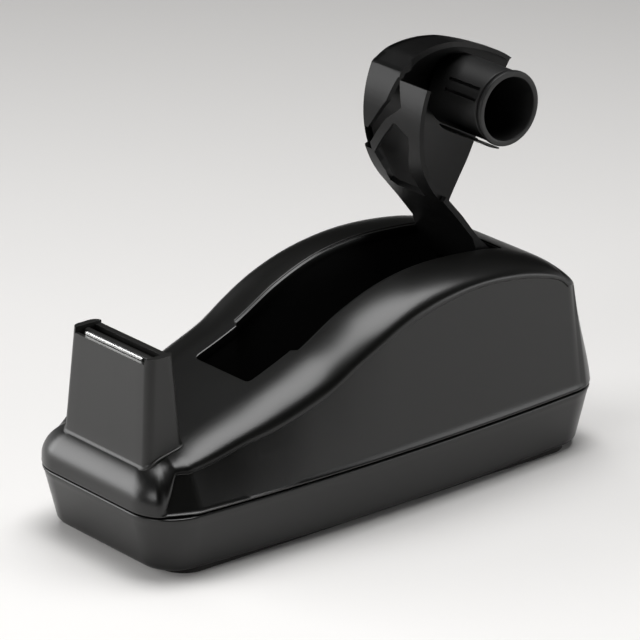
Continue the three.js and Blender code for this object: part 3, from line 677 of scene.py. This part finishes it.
def tray_column(column):
    """Points of one tray column, from inside its top edge down and in under the floor."""
    points = []
    curve_height = 2.08      # of the rounded lower edge
    curve_reach = 2.21
    floor_rim = 6            # how far in the floor's edge is drawn before it is capped
    for inward, z in ((2.4, -3), (2.4, 0), (0.95, 0), (0.55, -0.05), (0.3, -0.3), (0.2, -0.75)):
        xy = step_from(column["tray"], column["out"], -inward)
        points.append((*xy, TRAY_TOP_Z + z))
    ends = 1 + 0.3 * abs(column["out"][1])      # the front and rear walls flare more
    for i in range(1, 11):
        z = mix(TRAY_TOP_Z - 0.75, TRAY_BOTTOM_Z + curve_height, i / 10)
        xy = step_from(column["tray"], column["out"], -0.2 - TRAY_FLARE * ends * (SEAM_Z - z))
        points.append((*xy, z))
    wall = TRAY_FLARE * ends * (SEAM_Z - TRAY_BOTTOM_Z - curve_height) + 0.2
    for degrees in (20, 40, 60, 80, 90):
        angle = math.radians(degrees)
        inward = wall + curve_reach * (1 - math.cos(angle)) + 0.1
        z = TRAY_BOTTOM_Z + curve_height * (1 - math.sin(angle))
        points.append((*step_from(column["tray"], column["out"], -inward), z))
    points.append((*step_from(column["tray"], column["out"], -wall - floor_rim), TRAY_BOTTOM_Z))
    return points


def body_skin(name, column_points, cap_last=False):
    """A skin over rings that run through the same point of every column."""
    columns = [column_points(column) for column in body_columns]
    rings = [[column[i] for column in columns] for i in range(len(columns[0]))]
    return lofted(name, rings, cap_last=cap_last)


housing = shade(body_skin("housing shell", housing_column), 38)
place(housing, "base", "black_housing", housing_plastic, "upper_housing")
tray = shade(body_skin("base tray shell", tray_column, cap_last=True), 38)
place(tray, "base", "black_housing", housing_plastic, "base_tray")


# ------------------------------------------------------------------ cutter head
def nose_height(y):
    """Height of the housing's nose under the head."""
    share = min(1.0, max(0.0, (ROLL_FRONT_Y - y) / (HALF_LENGTH + ROLL_FRONT_Y - 0.1)))
    fall = crest(-HALF_LENGTH) - FRONT_EDGE_Z
    return crest(y) - fall * (1 - math.sqrt(1 - share ** 2))


def head_outline():
    """Columns round the head: two corner points, each with its way out, and the share between them."""
    columns = []
    corner_steps = 10
    side_steps = 10
    for quarter, (side_x, side_y) in enumerate(((1, -1), (1, 1), (-1, 1), (-1, -1))):
        for i in range(corner_steps + 1):
            angle = math.radians(-90 + 90 * quarter + 90 * i / corner_steps)
            columns.append((side_x, side_y, math.cos(angle), math.sin(angle)))
    spaced = []
    for i, column in enumerate(columns):
        spaced.append((column, column, 0.0))
        following = columns[(i + 1) % len(columns)]
        if (column[0], column[1]) != (following[0], following[1]):
            spaced += [(column, following, k / side_steps) for k in range(1, side_steps)]
    return spaced


def head_point(column, z, grow=0.0):
    """A place (x, y) on the head's skin at a height, grown outwards."""
    t = (z - HEAD_BASE_Z) / (HEAD_TOP_Z - HEAD_BASE_Z)
    half_x = mix(HEAD_BASE[0], HEAD_TOP[0], t)
    front = mix(HEAD_BASE[1], HEAD_TOP[1], t)
    rear = mix(HEAD_BASE[2], HEAD_TOP[2], t)
    found = []
    for side_x, side_y, out_x, out_y in column[:2]:
        corner_x = side_x * (half_x - HEAD_CORNER)
        corner_y = (front + HEAD_CORNER) if side_y < 0 else (rear - HEAD_CORNER)
        reach = HEAD_CORNER + grow
        found.append((corner_x + out_x * reach, corner_y + out_y * reach))
    (xa, ya), (xb, yb) = found
    return mix(xa, xb, column[2]), mix(ya, yb, column[2])


def cutter_head():
    """Tapered head with a small flare where it meets the nose, and a trough for the blade."""
    shaped = []
    for column in head_outline():
        # The head leans, so where it meets the nose is found by stepping closer.
        foot = 38.0
        for _ in range(6):
            foot = nose_height(head_point(column, foot)[1])
        points = []
        x, y = head_point(column, foot, HEAD_FLARE)
        points.append((x, y, nose_height(y) - 1.6))
        for degrees in (0, 18, 36, 54, 72, 90):
            angle = math.radians(degrees)
            rise = HEAD_FLARE * (1 - math.cos(angle))
            x, y = head_point(column, foot + rise, HEAD_FLARE * (1 - math.sin(angle)))
            points.append((x, y, nose_height(y) + rise - 0.04))
        low = points[-1][2]
        for i in range(1, 9):
            z = mix(low, HEAD_TOP_Z, i / 8)
            points.append((*head_point(column, z), z))
        shaped.append(points)
    rings = [[points[i] for points in shaped] for i in range(len(shaped[0]))]
    head = lofted("cutter head", rings, True, True)
    inner = HEAD_TOP[0] - CHEEK
    trough = block("trough", -inner, inner, FRONT_WALL_Y, REAR_WALL_Y, TROUGH_FLOOR_Z, 80)
    notch = block("notch", -inner, inner, -95, FRONT_WALL_Y + 1, FRONT_WALL_TOP_Z, 80)
    rear_dip = block("rear dip", -inner, inner, REAR_WALL_Y - 1, -60, HEAD_TOP_Z - 1.1, 80)
    return cut(head, trough, notch, rear_dip)


head = soften(cutter_head(), 0.5, 4)
place(head, "base", "black_housing", head_plastic, "cutter_head")


def cutter_blade():
    """Blade: a sheet with a row of ground teeth."""
    half = 14.4
    bottom = 65.4
    top = 69.2
    tooth_height = 0.25
    tooth_count = 32
    front = FRONT_WALL_Y + 0.3
    back = front + 0.6
    outline = [(-half, bottom), (half, bottom)]
    pitch = 2 * half / tooth_count
    for i in range(tooth_count):
        right = half - i * pitch
        outline += [(right, top - tooth_height), (right - pitch * 0.5, top)]
    outline.append((-half, top - tooth_height))
    rings = [[(x, y, z) for x, z in outline] for y in (front, back)]
    return lofted("serrated blade", rings, True, True)


blade = soften(cutter_blade(), 0.06, 2)
place(blade, "base", "blade_steel", blade_steel, "cutter_blade")


def tape_rest():
    """Rib with a rounded top that the tape's end lies on."""
    half = HEAD_TOP[0] - CHEEK - 0.3
    return prism("tape rest rib", (
        (-83.1, 65.3), (-79, 65.3), (-79, 66.6), (-79.4, 68.1), (-80.2, 68.9), (-81.2, 69.0),
        (-82, 68.5), (-82.5, 67.4), (-83.1, 66.6),
    ), -half, half)


place(soften(tape_rest(), 0.25, 3, 25), "base", "black_housing", head_plastic, "tape_rest")


# ------------------------------------------------------------------ roll carrier
def about_hub(radius, degrees):
    """A place (y, z) at a radius and an angle about the hub's axis."""
    angle = math.radians(degrees)
    return HUB[0] + radius * math.cos(angle), HUB[1] + radius * math.sin(angle)


def arc(centre, radius, start, end, steps):
    """Points (y, z) of an arc between two angles in degrees, both ends included."""
    return [
        (centre[0] + radius * math.cos(math.radians(mix(start, end, i / steps))),
         centre[1] + radius * math.sin(math.radians(mix(start, end, i / steps))))
        for i in range(steps + 1)
    ]


def through(points, steps=4):
    """A smooth line through points, with steps between each pair."""
    line = []
    for i in range(len(points) - 1):
        p0, p1 = points[max(i - 1, 0)], points[i]
        p2, p3 = points[i + 1], points[min(i + 2, len(points) - 1)]
        for k in range(steps):
            t = k / steps
            line.append(tuple(
                0.5 * (2 * b + (c - a) * t + (2 * a - 5 * b + 4 * c - d) * t * t
                       + (3 * b - a - 3 * c + d) * t ** 3)
                for a, b, c, d in zip(p0, p1, p2, p3)
            ))
    line.append(points[-1])
    return line


# Places are (y, z) and angles are degrees about the hub. The rim is the plate's top edge, from its
# rear corner forwards. It runs into the front arc at RIM_FOOT.
RIM = (
    (91.8, 122.8), (87.6, 125.6), (81.3, 128.9), (71.6, 133), (62, 136.3), (55, 137.6), (48.7, 137.9),
    (43.5, 137.5), (39.3, 136.6), (34.2, 134),
)
RIM_FOOT = 153.4
HOOD_FOOT = 197
SHELL_TOP = 158.5
SHELL_FOOT = 222
ARM = ((45.0, 84.6), (51.2, 76.8))           # front of the arm, going down
ARM_INSIDE = [(53.4, 76.8), (46.9, 85.4)]    # its rear, going up
HEEL_Z = 71.9            # the heel behind the hinge stands on the stop bumper when open
BARREL_RADIUS = 3.6


def shell_band():
    """The band about the hub that straightens into the arm down to the hinge barrel."""
    inner = SHELL_OUTER - SHELL_THICKNESS
    outline = arc(HUB, SHELL_OUTER, SHELL_TOP, SHELL_FOOT, 36)
    outline += ARM
    outline += arc(HINGE, BARREL_RADIUS, 190, 400, 20)
    outline += ARM_INSIDE
    outline += arc(HUB, inner, SHELL_FOOT, SHELL_TOP, 36)
    return prism("carrier", outline, CARRIER_LEFT, CARRIER_RIGHT)


def side_plate():
    """Plate that carries the hub, from the hinge up to the rim."""
    foot = 3.4
    rear = through((
        (67.4, HEEL_Z), (65.6, 74.5), (65, 77.6), (69.6, 85.6), (73.4, 91.7), (76.3, 97.3), (80.6, 105.2),
        (86, 114), (91.8, 122.8),
    ))
    outline = [(HINGE[0] - foot, HINGE[1]), (HINGE[0] + foot, HINGE[1]), (HINGE[0] + foot, HEEL_Z)]
    outline += rear + through(RIM)[1:]
    outline += arc(HUB, HOOD_OUTER, RIM_FOOT, SHELL_FOOT, 44)[1:]
    outline += [(y + 0.6, z) for y, z in ARM]
    return prism("plate", outline, CARRIER_LEFT, CARRIER_LEFT + PLATE_THICKNESS)


def hood():
    """Flange along the plate's top and front edges. Its free edge runs in to the plate at both ends."""
    outer = through(RIM) + arc(HUB, HOOD_OUTER, RIM_FOOT, HOOD_FOOT, 30)[1:]
    inner = arc(HUB, HOOD_OUTER - HOOD_THICKNESS, HOOD_FOOT, RIM_FOOT + 1.5, 30)
    # Along the rim the inside is the rim drawn in towards the hub.
    inner += [
        (mix(HUB[0], y, 0.93), mix(HUB[1], z, 0.9)) for y, z in reversed(through(RIM))
    ][1:]
    piece = prism("hood", outer + inner, CARRIER_LEFT + 0.02, -0.4)
    rear_trim = upright_prism("trim", (
        (-0.9, 38), (3, 38), (3, 98), (-13.4, 98), (-9.9, 77), (-5.4, 60),
    ), 100, 150)
    front_trim = window([
        (-0.9, 157.5), (-4.0, 171), (-10.2, 183.7), (-14.2, 191), (-19, 197), (-19, 204), (6, 204),
        (6, 157.5),
    ])
    return cut(piece, rear_trim, front_trim)


def window(corners):
    """A cutter for the shell between corners given as (x, degrees about the hub)."""
    fine = []
    for (x0, degrees0), (x1, degrees1) in zip(corners, corners[1:] + corners[:1]):
        fine += [(mix(x0, x1, k / 6), mix(degrees0, degrees1, k / 6)) for k in range(6)]
    rings = []
    for radius in (SHELL_OUTER + 6, SHELL_OUTER - 4):
        rings.append([(x, *about_hub(radius, degrees)) for x, degrees in fine])
    return lofted("window", rings, True, True)


def roll_carrier():
    """Shell, side plate, hood, catch and boss in one moulding, bored for the spindle and the pin."""
    above_strut = window([
        (1.7, 154), (1.8, 159), (5.0, 171), (3.8, 172.6), (-2.3, 179.6), (-10.9, 195), (-17, 200),
        (-17, 154),
    ])
    below_strut = window([
        (9.0, 184.5), (5.4, 182), (2.9, 180.2), (1.5, 180.2), (-3.9, 189.4), (-10.8, 201.3), (-9.6, 207),
        (-9.2, 213), (-10.6, 221), (-8.6, 224), (5.4, 224), (6.0, 212), (6.1, 203), (8.9, 190),
    ])
    right_taper = window([
        (15.2, 156), (14.9, 172), (14.6, 184), (13.5, 199), (13.4, 222), (20, 222), (20, 156),
    ])
    shell = cut(shell_band(), above_strut, below_strut, right_taper)
    carrier = fuse(shell, side_plate(), hood())
    # Finger catch: how far it stands off the hood's front, and degrees about the hub.
    catch = prism("catch", [
        about_hub(HOOD_OUTER + proud, degrees) for proud, degrees in (
            (-1.2, 187), (0.3, 189.5), (1.0, 193), (2.9, 196.5), (2.7, 197.6), (0.6, 201), (-1.2, 203),
        )
    ], CARRIER_LEFT + 0.01, -11.6)
    plate_face = CARRIER_LEFT + PLATE_THICKNESS
    boss = turned("boss", [
        (plate_face - 0.5, 0.5), (plate_face - 0.5, 6), (plate_face + 1.2, 6), (plate_face + 1.2, 0.5),
    ], HUB, 64)
    carrier = fuse(carrier, catch, boss)
    bore = turned("bore", [(-20, 0.01), (-20, 3.3), (0, 3.3), (0, 0.01)], HUB, 64)
    pin_bore = turned("pin bore", [(-20, 0.01), (-20, 1.8), (20, 1.8), (20, 0.01)], HINGE, 48)
    return cut(carrier, bore, pin_bore)


carrier = soften(roll_carrier(), 0.3, 2, 30)
place(carrier, "carrier", "carrier_black", carrier_plastic, "roll_carrier")


# ------------------------------------------------------------------ hub
GROOVE_HALF = 0.55       # half the width of a groove in the barrel


def roll_hub():
    """Barrel with an end ring and a web at its closed end, turned from one profile."""
    web = -7.5
    hub = turned("roll hub", [
        (-11.3, 3.3), (-11.3, 11.9), (-11.0, 12.2), (12.0, 12.2), (12.3, 11.9), (12.4, 11.5), (13.3, 11.5),
        (13.4, 12.1), (13.5, 12.5), (13.8, 12.7), (14.6, 12.7), (14.95, 12.4), (15.0, 12.0),
        (15.0, 11.0), (14.8, 10.7), (14.3, 10.6), (web + 0.5, 10.6), (web, 10.1), (web, 3.3),
    ], HUB)
    # A pair of shallow grooves at each of three places round the barrel.
    grooves = []
    for middle in (150, 270, 30):
        for side in (-9, 9):
            angle = math.radians(middle + side)
            out = (math.cos(angle), math.sin(angle))
            across = (-math.sin(angle), math.cos(angle))
            outline = []
            for radius, half in (
                (11.1, -GROOVE_HALF), (14, -GROOVE_HALF), (14, GROOVE_HALF), (11.1, GROOVE_HALF),
            ):
                outline.append(step_from(step_from(HUB, out, radius), across, half))
            grooves.append(prism("groove", outline, -4, 11))
    return cut(hub, *grooves)


hub = soften(roll_hub(), 0.12, 2, 40)
place(hub, "hub", "carrier_black", hub_plastic, "roll_hub")


def grip_spring():
    """Leaf that stands off the hub, its tip turned back to it."""
    outer, inner = [], []
    for i in range(25):
        t = i / 24
        radius = 13.1 + 2.2 * t ** 2 - 0.25 * ease((t - 0.85) / 0.15)
        degrees = 254 - 46 * t
        outer.append(about_hub(radius + 0.5, degrees))
        inner.append(about_hub(radius, degrees))
    return prism("core grip leaf", outer + inner[::-1], -4, 14.4)


place(soften(grip_spring(), 0.12, 2), "hub", "carrier_black", carrier_plastic, "core_grip_spring")


def hub_spindle():
    """Headed spindle through the side plate, hollow for the screw at its other end."""
    return turned("spindle", [
        (-16.0, 0.01), (-16.0, 4.2), (-15.6, 4.6), (-15.2, 4.6), (-15.2, 3), (-7.1, 3), (-6.9, 2.8),
        (-6.9, 1.2), (-12.5, 1.2), (-12.5, 0.01),
    ], HUB)


def hub_washer():
    """Flat washer between the screw's head and the hub's web."""
    return turned("hub washer", [
        (-7.2, 3.3), (-7.2, 6.2), (-6.5, 6.2), (-6.5, 1.5), (-6.6, 1.5), (-6.6, 3.3),
    ], HUB)


def hub_screw():
    """Domed screw that holds the washer and the hub on the spindle."""
    screw = turned("hub screw", [
        (-11.9, 0.01), (-11.9, 0.9), (-6.2, 0.9), (-6.2, 3.4), (-5.7, 3.35), (-5.1, 3.0), (-4.7, 2.2),
        (-4.7, 0.01),
    ], HUB)
    y, z = HUB
    bars = [
        block("bar", -5.7, -3, y - half_y, y + half_y, z - half_z, z + half_z)
        for half_y, half_z in ((2, 0.35), (0.35, 2))
    ]
    return cut(screw, *bars)


place(shade(hub_spindle()), "carrier", "fastener_steel", zinc_steel, "hub_spindle")
place(shade(hub_washer()), "carrier", "fastener_steel", zinc_steel, "hub_washer")
place(shade(hub_screw()), "carrier", "fastener_steel", zinc_steel, "hub_screw")


# ------------------------------------------------------------------ screws and kept solids
def screw_up(name, x, y, z, length):
    """Pan head screw with a cross recess and a threaded shank, standing on its head."""
    sides = 40
    pitch = 0.5
    thread_start = 2.0
    profile = [(0.02, 0), (2.2, 0), (2.75, 0.25), (3, 0.7), (3, 1.6), (1.35, 1.6)]
    for i in range(int((length - 3) / pitch)):
        profile.append((1.25 if i % 2 else 1.5, thread_start + pitch * i))
    profile += [(0.4, length), (0.02, length)]
    rings = []
    for radius, height in profile:
        rings.append([
            (x + radius * math.cos(math.tau * i / sides),
             y + radius * math.sin(math.tau * i / sides),
             z + height)
            for i in range(sides)
        ])
    screw = lofted(name, rings, True, True)
    bars = [
        block("bar", x - half_x, x + half_x, y - half_y, y + half_y, z - 1, z + 0.9)
        for half_x, half_y in ((1.7, 0.3), (0.3, 1.7))
    ]
    return shade(cut(screw, *bars), 30)


HOUSING_SCREWS = ((-26, -68), (26, -68), (-26, 72), (26, 72))
HOUSING_SCREW_LENGTH = 26
HEAD_SCREWS = {"left": -12, "right": 12}
HEAD_SCREW_Y = -80
HEAD_SCREW_FOOT_Z = 31.4
HEAD_SCREW_LENGTH = 20

for i, (x, y) in enumerate(HOUSING_SCREWS, 1):
    screw = screw_up(f"housing fixing {i}", x, y, TRAY_BOTTOM_Z + 0.3, HOUSING_SCREW_LENGTH)
    place(screw, "base", "fastener_steel", zinc_steel, f"housing_screw_{i}")
for side, x in HEAD_SCREWS.items():
    screw = screw_up(f"head fixing {side}", x, HEAD_SCREW_Y, HEAD_SCREW_FOOT_Z, HEAD_SCREW_LENGTH)
    place(screw, "base", "fastener_steel", zinc_steel, f"head_screw_{side}")

# Solids that stay as they are, with their finish and how far their edges are rounded.
kept = {
    "roll_well": (well_plastic, 0.3), "hinge_pin": (zinc_steel, 0.15),
    "pin_clip_left": (zinc_steel, 0.1), "pin_clip_right": (zinc_steel, 0.1),
    "ballast_front": (iron, 0.8), "ballast_rear": (iron, 0.8), "ballast_left": (iron, 0.8),
    "ballast_right": (iron, 0.8), "non_skid_pad": (rubber, 0.35), "open_stop_bumper": (rubber, 0.5),
}
for name, (material, width) in kept.items():
    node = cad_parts[name]
    for slot in node.material_slots:
        slot.link = "OBJECT"
        slot.material = material
    round_edges(node, width, 2, 40)


# ------------------------------------------------------------------ stage, light and camera
# The floor's edges, in millimetres. It ends near on the left and the back, so that low views look
# past it into the pale surroundings.
FLOOR_LEFT = -900
FLOOR_RIGHT = 2500
FLOOR_FRONT = -2500
FLOOR_REAR = 1100

# Camera, in metres.
AZIMUTH = math.radians(50.5)         # round from the front to the right
ELEVATION = math.radians(21.48)
CAMERA_DISTANCE = 1.6385
LENS = 285.13                        # millimetres, on a sensor 36 wide
AIM_HEIGHT = 0.045
AIM_RIGHT = -0.00032                 # shifts of the aim across and up the picture
AIM_UP = 0.01067

# Directions, fixed in the room.
FLOOR_PAINTED_SHADE_WAY = (-0.7716, 0.6361, 0)      # the floor's colour is painted greyer this way, as painted shade: back and to the left
PALE_WAY = (-0.72, 0.69, 0)          # and the surroundings are pale this way


def studio_camera():
    """A long lens that looks down on the front right corner."""
    out = Vector((
        math.sin(AZIMUTH) * math.cos(ELEVATION), -math.cos(AZIMUTH) * math.cos(ELEVATION),
        math.sin(ELEVATION),
    ))
    right = Vector((math.cos(AZIMUTH), math.sin(AZIMUTH), 0))
    up = out.cross(right)
    aim = Vector((0, 0, AIM_HEIGHT)) + right * AIM_RIGHT + up * AIM_UP
    camera = bpy.data.objects.new("camera", bpy.data.cameras.new("camera"))
    bpy.context.scene.collection.objects.link(camera)
    camera.data.sensor_width = 36
    camera.data.lens = LENS
    camera.data.clip_end = 20
    camera.location = aim + out * CAMERA_DISTANCE
    camera.rotation_euler = out.to_track_quat("Z", "Y").to_euler()
    return camera


bpy.context.scene.camera = studio_camera()


def floor_material():
    """Pale paper sweep, brightest where the front lights fall, its colour painted greyer towards the back
    as painted shade.
    """
    material, nodes = material_nodes("pale floor")
    # Painted shade: the floor's colour goes from pale at the front to grey at the back and to the left,
    # standing in for the lights' falloff.
    fade = nodes.remap(nodes.along(FLOOR_PAINTED_SHADE_WAY), -0.18, 0.55, 0.0, 1.0)
    tone = nodes.blend(fade, (0.92, 0.908, 0.895), (0.50, 0.492, 0.484))
    nodes.link(tone, nodes.shader.inputs["Base Color"])
    paper = nodes.remap(nodes.noise(6, 3), 0.3, 0.7, 0.75, 0.85)
    nodes.link(paper, nodes.shader.inputs["Roughness"])
    nodes.link(nodes.bump(nodes.noise(700, 3), 0.02), nodes.shader.inputs["Normal"])
    nodes.shader.inputs["Specular IOR Level"].default_value = 0.15
    return material


floor_corners = [
    (FLOOR_LEFT, FLOOR_FRONT, 0), (FLOOR_RIGHT, FLOOR_FRONT, 0), (FLOOR_RIGHT, FLOOR_REAR, 0),
    (FLOOR_LEFT, FLOOR_REAR, 0),
]
floor = new_piece("floor", floor_corners, [(0, 1, 2, 3)])
floor.data.materials.append(floor_material())


def soft_light(name, at, toward, width, depth, radiance):
    """Rectangular softbox whose face has an even radiance."""
    lamp = bpy.data.lights.new(name, "AREA")
    lamp.shape = "RECTANGLE"
    lamp.size = width
    lamp.size_y = depth
    lamp.energy = radiance * math.pi * width * depth
    light = bpy.data.objects.new(name, lamp)
    light.location = at
    light.rotation_euler = (Vector(at) - Vector(toward)).to_track_quat("Z", "Y").to_euler()
    bpy.context.scene.collection.objects.link(light)
    return light


soft_light("overhead softbox", (-0.10, 0.13, 1.25), (0, 0, 0.05), 1.05, 0.78, 6.3)
soft_light("front left softbox", (-1.05, -0.95, 0.40), (0, 0, 0.05), 1.0, 0.8, 5.6)
soft_light("front softbox", (0.30, -1.30, 0.60), (0, -0.05, 0.05), 0.50, 0.42, 5.5)
soft_light("right rear softbox", (0.62, 0.66, 0.20), (0, 0.05, 0.05), 0.45, 0.30, 3.0)


def studio_world():
    """Pale low down to the left and the back, where low views look, and dark overhead and elsewhere.

    A dark patch in the middle of the pale side keeps glancing reflections on the housing's top deep.
    """
    world = bpy.data.worlds.new("studio")
    nodes = Nodes(world, "Background", "Generated")
    split = nodes.add("ShaderNodeSeparateXYZ")
    nodes.link(nodes.place, split.inputs[0])
    low_down = nodes.remap(split.outputs["Z"], 0.05, 0.45, 0.85, 0.05)
    leftward = nodes.along(PALE_WAY)
    outside_patch = nodes.remap(leftward, 0.73, 0.90, 1.0, 0.02)
    pale_side = nodes.remap(leftward, -0.1, 0.45, 0.07, 1.0)
    strength = nodes.math("MULTIPLY", nodes.math("MULTIPLY", low_down, outside_patch), pale_side)
    nodes.link(strength, nodes.shader.inputs["Strength"])
    nodes.shader.inputs["Color"].default_value = (1, 1, 1, 1)
    return world


bpy.context.scene.world = studio_world()
bpy.context.scene.view_settings.view_transform = "Standard"
bpy.context.scene.view_settings.look = "None"
